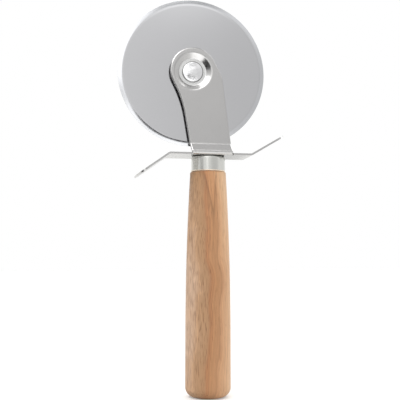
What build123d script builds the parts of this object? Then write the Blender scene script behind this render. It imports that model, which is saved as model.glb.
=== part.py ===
from build123d import *
from math import acos, atan2, cos, hypot, pi, radians, sin, tan
import os

# A hand pizza cutter, upright: +Z runs up the handle from the middle of its flat butt, the wheel's
# axle lies along Y and the arm stands in front of the wheel, towards -Y. Every length is in millimetres.

# Wheel
wheel_diameter = 75.0
wheel_thickness = 1.0
edge_thickness = 0.2
bevel_width = 2.0
axle_offset = 8.9
wheel_clearance = 3.75

# Axle: rivet, bush, washers and cap
shank_radius = 2.5
running_gap = 0.05
end_play = 0.05
bush_wall = 1.2
bush_proud = 0.25
washer_thickness = 0.7
washer_radius = 5.4
head_radius = 5.35
head_edge = 0.55
head_dome = 0.75
cap_radius = 4.6
cap_edge = 0.9
cap_dome = 1.0
cap_floor = 0.6

# Sheet of the bracket
sheet = 0.9
guard_depth = 20.0
guard_left = 20.7
guard_right = 20.8
wing_length = 19.5
right_wing_excess = 1.0
wing_bend_radius = 1.6
wing_corner_radius = 6.0
left_wing_angle = 35.3
right_wing_angle = 30.5

# Arm of the bracket
arm_base_left = 9.6
arm_base_right = 11.3
waist_left = 14.2
waist_height = 26.7
waist_radius = 55.0
head_offset = 0.3
head_rise = 0.5
shoulder_right = 6.0
shoulder_drop = 1.75
shoulder_radius = 9.0
jog_depth = 2.6
jog_angle = 55.0
foot_bend_radius = 0.6
jog_bend_radius = 1.6
rim_land = 1.4
rim_depth = 2.4
rim_depth_at_head = 3.0
rim_radius = 0.75
rim_start_height = 2.0
rim_full_height = 9.0

# Dish pressed into the arm's head
dish_mouth_radius = 9.5
dish_foot_radius = 6.9
dish_land = 0.9
dish_depth = 1.8
dish_bend_radius = 1.0

# Handle of turned wood
handle_length = 112.2
butt_radius = 11.4
butt_rounding = 5.0
straight_height = 28.0
shoulder_step = 0.37
wood_top_rounding = 0.3

# Ferrule
ferrule_radius = 8.68
ferrule_height = 8.2
ferrule_wall = 1.2
ferrule_end = 1.0
ferrule_rounding = 1.0
ferrule_edge_break = 0.9

# Fixing of the guard on the handle
screw_radius = 2.5
screw_clearance = 0.15
screw_head_radius = 4.1
screw_head_edge = 1.1
screw_head_dome = 0.8
screw_tip = 1.2
recess_length = 4.6
recess_width = 0.9
recess_depth = 1.1
lock_washer_thickness = 0.8
lock_washer_split = 0.7
insert_wall = 1.0
insert_length = 12.0
insert_groove_depth = 0.35
insert_groove_width = 0.9
insert_groove_count = 4
pilot_wall = 0.3
pilot_depth = 2.6
dowel_radius = 0.9
dowel_length = 9.0

# Fit between pieces that are pressed or glued together, the reach of a cut past a surface, and how
# much of a straight edge a fillet may take up
fit_gap = 0.02
overrun = 1.0
fillet_edge_share = 0.95

# Levels along the handle and planes across the axle, worked out from the sizes above
guard_under = handle_length + ferrule_height
guard_top = guard_under + sheet
tenon_top = guard_under - ferrule_end
tenon_radius = ferrule_radius - ferrule_wall - fit_gap
wood_top_radius = ferrule_radius + shoulder_step
insert_radius = screw_radius + insert_wall
dowel_x = (insert_radius + tenon_radius) / 2
screw_hole = screw_radius + screw_clearance
dowel_hole = dowel_radius + fit_gap
axle_x = -axle_offset
axle_z = guard_top + wheel_clearance + wheel_diameter / 2
arm_head_radius = dish_mouth_radius + dish_land + rim_land
guard_front = -guard_depth / 2
arm_face = guard_front + jog_depth
dish_floor = arm_face + dish_depth
dish_back = dish_floor + sheet
bush_length = wheel_thickness + 2 * bush_proud
bush_front = dish_back + washer_thickness + end_play
wheel_plane = bush_front + bush_length / 2
rear_washer_front = bush_front + bush_length + end_play
cap_front = rear_washer_front + washer_thickness
shank_end = cap_front + cap_edge + cap_dome - cap_floor
bush_bore = shank_radius + running_gap
bush_radius = bush_bore + bush_wall
foot_radius = foot_bend_radius + sheet
arm_reach = axle_offset + 2 * arm_head_radius


def turned(points):
    """Solid of revolution about Y from a closed (radius, y) outline, moved to the wheel's axle."""
    return Pos(axle_x, 0, axle_z) * revolve(make_face(Polyline(*points, close=True)), Axis.Y)


def upright(points, radii):
    """Solid of revolution about Z from a closed (radius, z) outline with its corner radii."""
    return revolve(Plane.XZ * make_face(FilletPolyline(*points, radius=radii, close=True)), Axis.Z)


def standing_cylinder(radius, low, high):
    """Round bar or bore along Z between two levels."""
    return Pos(0, 0, (low + high) / 2) * Cylinder(radius, high - low)


def dowel_bores(low, high):
    """Bores for the two dowels between two levels."""
    bore = standing_cylinder(dowel_hole, low, high)
    return Pos(-dowel_x, 0, 0) * bore + Pos(dowel_x, 0, 0) * bore


def domed(radius, edge, dome, seat, side):
    """Low dome about the axle: a straight edge and a spherical crown, seated at y = seat."""
    foot, crown = seat + side * edge, seat + side * (edge + dome)
    middle = cos(radians(45)) * radius
    sphere = (radius * radius + dome * dome) / (2 * dome)
    rise = (sphere * sphere - middle * middle) ** 0.5 - (sphere - dome)
    arc = ThreePointArc((radius, foot), (middle, foot + side * rise), (0, crown))
    edges = Polyline((0, crown), (0, seat), (radius, seat), (radius, foot))
    return Pos(axle_x, 0, axle_z) * revolve(make_face([*arc.edges(), *edges.edges()]), Axis.Y)


def sheet_section(face_points, inner_radii):
    """Section of a bent sheet: one face's corners, with the thickness to the right of their order."""
    legs = list(zip(face_points, face_points[1:]))
    headings = [atan2(b[1] - a[1], b[0] - a[0]) for a, b in legs]
    bends = [(b - a + pi) % (2 * pi) - pi for a, b in zip(headings, headings[1:])]
    far_points = []
    for (x, y), heading, turn in zip(face_points, [headings[0], *headings], [0, *bends, 0]):
        reach = sheet / cos(turn / 2)
        far_points.append((x + reach * sin(heading + turn / 2), y - reach * cos(heading + turn / 2)))
    near, far = [0], [0]
    for radius, turn in zip(inner_radii, bends):
        near.append(radius + sheet if turn < 0 else radius)
        far.append(radius if turn < 0 else radius + sheet)
    corners = [*face_points, *reversed(far_points)]
    radii = [*near, 0, 0, *reversed(far)]
    return make_face(FilletPolyline(*corners, radius=radii, close=True))


def tangent_point(corner, centre, radius, side):
    """Where the line from a corner touches a circle, on its left (+1) or right (-1) side."""
    dx, dz = corner[0] - centre[0], corner[1] - centre[1]
    angle = atan2(dz, dx) + side * acos(radius / hypot(dx, dz))
    return (centre[0] + radius * cos(angle), centre[1] + radius * sin(angle))


def largest_fillet(before, corner, after):
    """Radius of the fillet that takes up the allowed share of the shorter of two straight edges."""
    edges = [(corner[0] - before[0], corner[1] - before[1]), (after[0] - corner[0], after[1] - corner[1])]
    headings = [atan2(dz, dx) for dx, dz in edges]
    turn = abs((headings[1] - headings[0] + pi) % (2 * pi) - pi)
    return fillet_edge_share * min(hypot(*edge) for edge in edges) / tan(turn / 2)


def arm_prism(inset):
    """Front view of the arm drawn in by an inset, run through the whole depth of the guard."""
    centre = (axle_x + head_offset, axle_z + head_rise)
    radius = arm_head_radius - inset
    base = (-arm_base_left + inset, guard_under)
    left = (-waist_left + inset, guard_top + waist_height)
    left_touch = tangent_point(left, centre, radius, -1)
    right = (shoulder_right - inset, axle_z - shoulder_drop)
    right_touch = tangent_point(right, centre, radius, 1)
    foot = (arm_base_right - inset, guard_under)
    points = [base, left, left_touch, centre, right_touch, right, foot]
    waist = min(waist_radius + inset, largest_fillet(base, left, left_touch))
    shoulder = min(shoulder_radius - inset, largest_fillet(right_touch, right, foot))
    radii = [0, waist, 0, 0, 0, shoulder, 0]
    outline = make_face(FilletPolyline(*points, radius=radii, close=True)) + Pos(*centre) * Circle(radius)
    return extrude(Plane.XZ * outline, amount=guard_depth, both=True)


def across_guard(section):
    """Side view in Y and Z run through the whole width of the arm."""
    return extrude(Plane.YZ * section, amount=arm_reach, both=True)


def guard_strip():
    """Plate of the guard with its left wing bent down and its right wing bent up."""
    left, right = radians(left_wing_angle), radians(right_wing_angle)
    right_wing_length = wing_length + right_wing_excess
    points = [
        (guard_right + right_wing_length * cos(right), guard_under + right_wing_length * sin(right)),
        (guard_right, guard_under),
        (-guard_left, guard_under),
        (-guard_left - wing_length * cos(left), guard_under - wing_length * sin(left)),
    ]
    section = sheet_section(points, [wing_bend_radius, wing_bend_radius])
    strip = extrude(Plane.XZ.offset(guard_front) * section, amount=guard_depth)
    across_sheet = [e for e in strip.edges() if abs(e.length - sheet) < sheet / 100]
    tips = [e for e in across_sheet if abs(e.center().X) > max(guard_left, guard_right)]
    return fillet(tips, wing_corner_radius)


def arm_body():
    """Arm with its foot bend, its jog, its rounded front edge and its turned-back rim."""
    slope = radians(jog_angle)
    rise = tan(slope)
    foot_corner = guard_front - foot_radius * (tan((pi - slope) / 2) - 1)
    jog_height = guard_under + (arm_face - foot_corner) * rise
    top = axle_z + 2 * arm_head_radius
    face = [(0, guard_under), (foot_corner, guard_under), (arm_face, jog_height), (arm_face, top)]
    rim_start, rim_full = guard_top + rim_start_height, guard_top + rim_full_height
    half = sheet / 2
    middle_start = foot_corner + (rim_start - guard_under) / rise + half / sin(slope)
    middle_jog = guard_under + (arm_face + half - foot_corner - half / sin(slope)) * rise
    rim_side = [
        (middle_start, rim_start),
        (arm_face + half, middle_jog),
        (arm_face + half, top),
        (arm_face + rim_depth_at_head, top),
        (arm_face + rim_depth_at_head, axle_z),
        (arm_face + rim_depth, rim_full),
    ]
    plate = across_guard(sheet_section(face, [foot_bend_radius, jog_bend_radius])) & arm_prism(0)
    rim = across_guard(make_face(Polyline(*rim_side, close=True))) & (arm_prism(0) - arm_prism(sheet))
    arm = plate + rim
    front = Plane.YZ * FilletPolyline(*face, radius=[foot_radius, jog_bend_radius])
    along_rim = []
    for edge in arm.edges():
        spot, box = edge.center(), edge.bounding_box()
        on_front = front.distance_to(Vector(0, spot.Y, spot.Z)) < fit_gap
        across_arm = hypot(box.size.Y, box.size.Z) < fit_gap
        if on_front and not across_arm and box.min.Z > guard_top:
            along_rim.append(edge)
    return fillet(along_rim, rim_radius)


def dish():
    """Round dish pressed back into the arm's head, with its floor bored for the rivet."""
    mouth_land = dish_mouth_radius + dish_land
    face = [
        (shank_radius + fit_gap, dish_floor),
        (dish_foot_radius, dish_floor),
        (dish_mouth_radius, arm_face),
        (mouth_land, arm_face),
    ]
    section = sheet_section(face[::-1], [dish_bend_radius, dish_bend_radius])
    return Pos(axle_x, 0, axle_z) * revolve(section, Axis.Y)


def bracket():
    """Arm, dish, guard and wings, one bent sheet, with the holes for the screw and the dowels."""
    arm = arm_body()
    bore = dish_mouth_radius + dish_land - fit_gap
    arm -= turned([(0, arm_face - overrun), (bore, arm_face - overrun), (bore, 0), (0, 0)])
    notch = Box(arm_base_left + arm_base_right, 2 * foot_radius, 2 * sheet + overrun)
    notch_middle = (arm_base_right - arm_base_left) / 2
    strip = guard_strip() - Pos(notch_middle, guard_front, guard_under) * notch
    low, high = guard_under - overrun, guard_top + overrun
    return strip + arm + dish() - standing_cylinder(screw_hole, low, high) - dowel_bores(low, high)


def cutting_wheel():
    """Round blade ground to an edge from both faces, bored for its bush."""
    outer, half, edge = wheel_diameter / 2, wheel_thickness / 2, edge_thickness / 2
    bore = bush_radius + fit_gap
    return turned([
        (bore, wheel_plane - half),
        (outer - bevel_width, wheel_plane - half),
        (outer, wheel_plane - edge),
        (outer, wheel_plane + edge),
        (outer - bevel_width, wheel_plane + half),
        (bore, wheel_plane + half),
    ])


def ring(inner, outer, front, thickness):
    """Plain round washer or sleeve on the axle."""
    return turned([(inner, front), (outer, front), (outer, front + thickness), (inner, front + thickness)])


def axle_rivet():
    """Domed head seated on the dish's floor, and the shank that the wheel turns on."""
    head = domed(head_radius, head_edge, head_dome, dish_floor, -1)
    shank = turned([(0, dish_floor), (shank_radius, dish_floor), (shank_radius, shank_end), (0, shank_end)])
    return head + shank


def rivet_cap():
    """Domed cap that closes the shank behind the wheel."""
    cap = domed(cap_radius, cap_edge, cap_dome, cap_front, 1)
    bore = shank_radius + fit_gap
    return cap - turned([(0, cap_front), (bore, cap_front), (bore, shank_end), (0, shank_end)])


def wood_handle():
    """Turned handle: rounded butt, straight grip, long taper, shoulder, tenon and its bores."""
    base_arc = RadiusArc((butt_radius - butt_rounding, 0), (butt_radius, butt_rounding), -butt_rounding)
    grip = Line((butt_radius, butt_rounding), (butt_radius, straight_height))
    shoulder_low = handle_length - wood_top_rounding
    taper = TangentArc((butt_radius, straight_height), (wood_top_radius, shoulder_low), tangent=(0, 1))
    rounded = wood_top_radius - wood_top_rounding
    top_arc = RadiusArc((wood_top_radius, shoulder_low), (rounded, handle_length), -wood_top_rounding)
    rest = Polyline(
        (rounded, handle_length),
        (tenon_radius, handle_length),
        (tenon_radius, tenon_top),
        (0, tenon_top),
        (0, 0),
        (butt_radius - butt_rounding, 0),
    )
    pieces = (base_arc, grip, taper, top_arc, rest)
    wood = revolve(Plane.XZ * make_face([edge for piece in pieces for edge in piece.edges()]), Axis.Z)
    insert_low = tenon_top - insert_length
    wood -= standing_cylinder(insert_radius + fit_gap, insert_low, tenon_top + overrun)
    wood -= standing_cylinder(screw_radius + pilot_wall, insert_low - pilot_depth, insert_low)
    return wood - dowel_bores(guard_top - dowel_length, tenon_top + overrun)


def ferrule():
    """Steel cup over the tenon, its closed end against the guard's underside."""
    inner = ferrule_radius - ferrule_wall
    cup = upright(
        [
            (screw_hole, tenon_top),
            (inner, tenon_top),
            (inner, handle_length),
            (ferrule_radius, handle_length),
            (ferrule_radius, guard_under),
            (screw_hole, guard_under),
        ],
        [0, 0, 0, ferrule_edge_break, ferrule_rounding, 0],
    )
    return cup - dowel_bores(tenon_top - overrun, guard_under + overrun)


def handle_screw():
    """Pan head with a cross recess on a plain shank the size of its thread."""
    seat = guard_top + lock_washer_thickness
    crown = seat + screw_head_edge + screw_head_dome
    tip = tenon_top - insert_length - screw_tip
    head = upright([
        (0, seat),
        (screw_head_radius, seat),
        (screw_head_radius, seat + screw_head_edge),
        (screw_head_radius - screw_head_dome, crown),
        (0, crown),
    ], [0, 0, screw_head_dome / 2, screw_head_dome / 2, 0])
    for length, width in ((recess_length, recess_width), (recess_width, recess_length)):
        head -= Pos(0, 0, crown) * Box(length, width, 2 * recess_depth)
    return head + standing_cylinder(screw_radius, tip, seat)


def lock_washer():
    """Spring washer with one split, pressed flat under the screw's head."""
    level = guard_top + lock_washer_thickness
    whole = standing_cylinder(screw_head_radius, guard_top, level)
    whole -= standing_cylinder(screw_hole, guard_top - overrun, level + overrun)
    split = Box(2 * screw_head_radius, lock_washer_split, 2 * lock_washer_thickness + overrun)
    return whole - Pos(screw_head_radius, 0, guard_top) * split


def threaded_insert():
    """Brass sleeve glued into the handle, with grooves round it for the glue."""
    low = tenon_top - insert_length
    half = insert_groove_width / 2
    core = standing_cylinder(insert_radius - insert_groove_depth, low, tenon_top)
    sleeve = standing_cylinder(insert_radius, low, tenon_top)
    for i in range(insert_groove_count):
        middle = low + insert_length * (i + 1) / (insert_groove_count + 1)
        sleeve -= standing_cylinder(insert_radius + overrun, middle - half, middle + half) - core
    return sleeve - standing_cylinder(screw_radius + fit_gap, low - overrun, tenon_top + overrun)


def locating_pins():
    """Two dowels through guard and ferrule into the wood, which keep the guard from turning."""
    dowel = standing_cylinder(dowel_radius, guard_top - dowel_length, guard_top)
    return Compound([Pos(-dowel_x, 0, 0) * dowel, Pos(dowel_x, 0, 0) * dowel])


parts = {
    "bracket": bracket(),
    "cutting_wheel": cutting_wheel(),
    "wheel_bush": ring(bush_bore, bush_radius, bush_front, bush_length),
    "front_washer": ring(shank_radius + fit_gap, washer_radius, dish_back, washer_thickness),
    "rear_washer": ring(shank_radius + fit_gap, washer_radius, rear_washer_front, washer_thickness),
    "axle_rivet": axle_rivet(),
    "rivet_cap": rivet_cap(),
    "ferrule": ferrule(),
    "handle": wood_handle(),
    "handle_screw": handle_screw(),
    "lock_washer": lock_washer(),
    "threaded_insert": threaded_insert(),
    "locating_pins": locating_pins(),
}

os.makedirs("parts", exist_ok=True)
for name, solid in parts.items():
    export_step(solid, f"parts/{name}.step")
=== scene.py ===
"""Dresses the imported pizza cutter: turned and stamped pieces, their finishes, the studio and the camera."""

import logging
from collections.abc import Callable
from dataclasses import dataclass
from enum import Enum
from math import acos, asin, atan2, cos, hypot, pi, radians, sin, tan

import bmesh
import bpy
from mathutils import Matrix, Vector


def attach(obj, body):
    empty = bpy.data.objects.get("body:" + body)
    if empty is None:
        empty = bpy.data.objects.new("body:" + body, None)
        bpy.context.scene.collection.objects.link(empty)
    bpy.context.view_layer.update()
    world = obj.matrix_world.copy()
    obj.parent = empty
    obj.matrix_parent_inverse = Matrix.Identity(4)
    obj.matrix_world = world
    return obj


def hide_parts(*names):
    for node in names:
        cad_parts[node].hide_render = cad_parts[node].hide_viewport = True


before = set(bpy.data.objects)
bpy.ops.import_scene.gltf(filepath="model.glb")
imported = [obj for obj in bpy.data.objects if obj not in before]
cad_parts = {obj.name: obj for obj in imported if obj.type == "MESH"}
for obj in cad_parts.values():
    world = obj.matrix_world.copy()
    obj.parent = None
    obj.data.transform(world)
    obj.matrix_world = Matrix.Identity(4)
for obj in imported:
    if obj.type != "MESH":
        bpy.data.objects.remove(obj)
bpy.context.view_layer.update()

log = logging.getLogger("pizza_cutter")

MM = 0.001
PER_METRE = 1000.0
FRAME_PIXELS = 400

# Where the wheel's axle crosses the plane of the handle's axis.
AXLE = Vector((-8.9 * MM, 0.0, 162.55 * MM))

# Where pieces meet, in millimetres: heights on the handle's axis, and the dish's floor on the wheel's axle.
WOOD_TOP = 112.2
GUARD_UNDER = 120.4
SHEET = 0.9
FERRULE_END = 1.0
DISH_FLOOR = -5.6

# Points that lie closer together than this are one.
MERGE_MM = 0.001
# A straight stretch with room for it gets a point this far from its roundings, which keeps its shading flat.
SUPPORT_MM = 0.12
SUPPORT_ROOM_MM = 4 * SUPPORT_MM
# Faces round a turned piece, and the angle from which its edges look sharp.
SEGMENTS = 192
SHARP_ANGLE = radians(32)
# CAD faces that meet flatter than this are one, and edges from the second angle on are corners.
FLAT_ANGLE = radians(0.4)
CORNER_ANGLE = radians(30)
BROKEN_EDGE_STEPS = 3
FACE_AREA_WEIGHT = 100
# Most of a noise pattern lies between these values.
NOISE_SPAN = (0.3, 0.7)

WHITE = "#FFFFFF"

Point = tuple[float, float]
Lengths = tuple[float, float, float]
Stops = tuple[tuple[float, str], ...]
Settings = dict[str, object]
Inputs = dict[int | str, object]
Socket = bpy.types.NodeSocket


class Body(Enum):
    """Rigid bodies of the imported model."""

    FRAME = "frame"
    WHEEL = "wheel"


class Slot(Enum):
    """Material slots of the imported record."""

    BRACKET = "bracket_steel"
    WHEEL = "wheel_steel"
    RIVET = "rivet_steel"
    FERRULE = "ferrule_steel"
    SCREW = "screw_steel"
    WOOD = "handle_wood"


class Turning(Enum):
    """Axis that a turned piece stands on: the handle's, upwards, or the wheel's axle, towards the back."""

    HANDLE = (0.0, 0.0, 0.0)
    AXLE = (-pi / 2, 0.0, 0.0)


# Nodes and colours


def linear(code: str) -> tuple[float, float, float, float]:
    """Turns an sRGB hex colour into linear red, green, blue and an alpha of one.

    Args:
        code: colour such as "#C8B49A".

    Returns:
        The linear colour.
    """
    parts = [int(code[i:i + 2], 16) / 255 for i in (1, 3, 5)]
    channels = [p / 12.92 if p <= 0.04045 else ((p + 0.055) / 1.055) ** 2.4 for p in parts]
    return (channels[0], channels[1], channels[2], 1.0)


def add_node(tree: bpy.types.NodeTree, kind: str, settings: Settings | None = None,
             inputs: Inputs | None = None) -> bpy.types.Node:
    """Adds a node with its properties, and fills or links its inputs.

    Args:
        tree: node tree that gets the node.
        kind: Blender's type name of the node.
        settings: property values by name.
        inputs: values, or output sockets to link from, by the input's name or number.

    Returns:
        The new node.
    """
    node = tree.nodes.new(kind)
    for name, value in (settings or {}).items():
        setattr(node, name, value)
    for key, value in (inputs or {}).items():
        socket = node.inputs[key]
        if isinstance(value, Socket):
            tree.links.new(value, socket)
        else:
            socket.default_value = value
    return node


class NodeWork:
    """A node tree under construction."""

    def __init__(self, tree: bpy.types.NodeTree) -> None:
        """Takes a tree and empties it."""
        self.tree = tree
        self.tree.nodes.clear()

    def node(self, kind: str, settings: Settings | None = None,
             inputs: Inputs | None = None) -> bpy.types.Node:
        """Adds a node to the tree."""
        return add_node(self.tree, kind, settings, inputs)

    def math(self, operation: str, *values: object, clamp: bool = False) -> Socket:
        """Adds a sum of one to three values."""
        return self.node("ShaderNodeMath", {"operation": operation, "use_clamp": clamp},
                         dict(enumerate(values))).outputs[0]

    def mix(self, share: object, first: object, second: object) -> Socket:
        """Mixes two levels."""
        return self.node("ShaderNodeMix", {"data_type": "FLOAT"}, {0: share, 2: first, 3: second}).outputs[0]

    def spread(self, value: object, given: tuple[object, object] = (0.0, 1.0),
               wanted: tuple[object, object] = (0.0, 1.0), smooth: bool = False) -> Socket:
        """Maps a value from one range onto another and holds it there.

        Args:
            value: the value or socket.
            given: ends of the value's own range.
            wanted: ends of the new range.
            smooth: starts and ends the change softly.

        Returns:
            The mapped value.
        """
        kind = "SMOOTHSTEP" if smooth else "LINEAR"
        return self.node("ShaderNodeMapRange", {"interpolation_type": kind}, {
            0: value, 1: given[0], 2: given[1], 3: wanted[0], 4: wanted[1]}).outputs[0]

    def ray_kinds(self) -> tuple[Socket, Socket]:
        """Tells the camera's own rays, and the rays that a mirror or glass sends on, from all others.

        Returns:
            One for a ray of the first kind, and one for a ray of the second.
        """
        path = self.node("ShaderNodeLightPath").outputs
        sent_on = self.math("ADD", path["Is Glossy Ray"], path["Is Transmission Ray"], clamp=True)
        return path["Is Camera Ray"], sent_on


class Surface(NodeWork):
    """A node material under construction, with its shader and its pattern coordinates."""

    def __init__(self, name: str, metallic: float) -> None:
        """Starts an empty material around one Principled shader.

        Args:
            name: the material's name.
            metallic: 1 for a metal, 0 for anything else.
        """
        self.material = bpy.data.materials.new(name)
        self.material.use_nodes = True
        super().__init__(self.material.node_tree)
        self.shader = self.node("ShaderNodeBsdfPrincipled", inputs={"Metallic": metallic})
        self.node("ShaderNodeOutputMaterial", inputs={0: self.shader.outputs[0]})
        self.coords = self.node("ShaderNodeTexCoord").outputs["Object"]

    def scaled(self, sizes_mm: Lengths) -> Socket:
        """Object coordinates, counted in pattern units of these lengths along each axis."""
        scale = tuple(PER_METRE / size for size in sizes_mm)
        return self.node("ShaderNodeVectorMath", {"operation": "MULTIPLY"},
                         {0: self.coords, 1: scale}).outputs[0]

    def place_mm(self) -> bpy.types.NodeOutputs:
        """Place on the tool in millimetres, with one output for each axis."""
        return self.node("ShaderNodeSeparateXYZ", inputs={0: self.scaled((1.0, 1.0, 1.0))}).outputs

    def noise(self, sizes_mm: Lengths, detail: float, roughness: float = 0.5) -> Socket:
        """Adds an irregular pattern.

        Args:
            sizes_mm: length of one pattern unit along each axis.
            detail: number of finer layers.
            roughness: strength of the finer layers.

        Returns:
            The pattern's value.
        """
        pattern = self.node("ShaderNodeTexNoise", inputs={
            "Vector": self.scaled(sizes_mm), "Scale": 1.0, "Detail": detail, "Roughness": roughness})
        return pattern.outputs["Fac"]

    def ramp(self, value: Socket, stops: Stops) -> Socket:
        """Turns a value from 0 to 1 into a colour.

        Args:
            value: the value.
            stops: places from 0 to 1 with their sRGB hex colours.

        Returns:
            The colour.
        """
        ramp = self.node("ShaderNodeValToRGB", inputs={0: value})
        elements = ramp.color_ramp.elements
        while len(elements) < len(stops):
            elements.new(1.0)
        for element, (place, code) in zip(elements, stops):
            element.position = place
            element.color = linear(code)
        return ramp.outputs[0]

    def blend(self, share: object, first: object, second: object, kind: str = "MIX") -> Socket:
        """Blends two colours."""
        return self.node("ShaderNodeMix", {"data_type": "RGBA", "blend_type": kind},
                         {0: share, 6: first, 7: second}).outputs[2]

    def bump(self, height: Socket, depth_mm: float, strength: float = 1.0,
             under: Socket | None = None) -> Socket:
        """Raises a pattern in the surface.

        Args:
            height: the pattern.
            depth_mm: its real depth.
            strength: share of the depth that shows.
            under: relief that it lies on.

        Returns:
            The surface's normal.
        """
        inputs: Inputs = {"Strength": strength, "Distance": depth_mm * MM, "Height": height}
        if under is not None:
            inputs["Normal"] = under
        return self.node("ShaderNodeBump", inputs=inputs).outputs[0]

    def link(self, socket: Socket, name: str) -> None:
        """Links an output to one of the shader's inputs."""
        self.tree.links.new(socket, self.shader.inputs[name])


# Finishes


@dataclass(frozen=True)
class SteelFinish:
    """Stainless steel: a plain metal whose look comes from its roughness and its surface marks."""

    name: str
    light: str
    dark: str
    cloud_mm: Lengths
    roughness: Point
    marks_mm: Lengths
    marks_depth_mm: float
    dents_mm: float = 3.0
    dents_depth_mm: float = 0.0

    def build(self) -> bpy.types.Material:
        """Makes the material: cloudy tone, uneven roughness and fine marks in the surface.

        Returns:
            The material.
        """
        s = Surface(self.name, metallic=1.0)
        s.link(self._tone(s), "Base Color")
        marks = s.noise(self.marks_mm, detail=4.0, roughness=0.6)
        s.link(s.spread(marks, NOISE_SPAN, self.roughness), "Roughness")
        relief = s.bump(marks, self.marks_depth_mm)
        if self.dents_depth_mm > 0:
            dents = s.noise((self.dents_mm,) * 3, detail=1.0)
            relief = s.bump(dents, self.dents_depth_mm, under=relief)
        s.link(relief, "Normal")
        return s.material

    def _tone(self, s: Surface) -> Socket:
        """Clouds the metal's tone between its dark and its light."""
        return s.blend(s.noise(self.cloud_mm, detail=3.0), linear(self.dark), linear(self.light))


@dataclass(frozen=True)
class ShadedSteelFinish(SteelFinish):
    """Stainless steel with painted shade that varies from left to right."""

    across_mm: Point = (-21.0, 21.0)
    shades: Stops = ((0.0, WHITE), (1.0, WHITE))

    def _tone(self, s: Surface) -> Socket:
        """Darkens the clouded tone with painted shade by the place from left to right."""
        shade = s.ramp(s.spread(s.place_mm()[0], self.across_mm), self.shades)
        return s.blend(1.0, super()._tone(s), shade, "MULTIPLY")


@dataclass(frozen=True)
class PlainFinish:
    """Brass or nylon: one tone with faint clouds and a fine tooling or mould texture."""

    name: str
    light: str
    dark: str
    metallic: float
    roughness: float
    texture_mm: float
    texture_depth_mm: float
    unevenness: float = 0.15

    def build(self) -> bpy.types.Material:
        """Makes the material.

        Returns:
            The material.
        """
        s = Surface(self.name, metallic=self.metallic)
        texture = s.noise((self.texture_mm,) * 3, detail=3.0)
        s.link(s.blend(texture, linear(self.dark), linear(self.light)), "Base Color")
        smoothest, roughest = (self.roughness * (1 + side * self.unevenness) for side in (-1, 1))
        s.link(s.spread(texture, wanted=(smoothest, roughest)), "Roughness")
        s.link(s.bump(texture, self.texture_depth_mm), "Normal")
        return s.material


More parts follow.
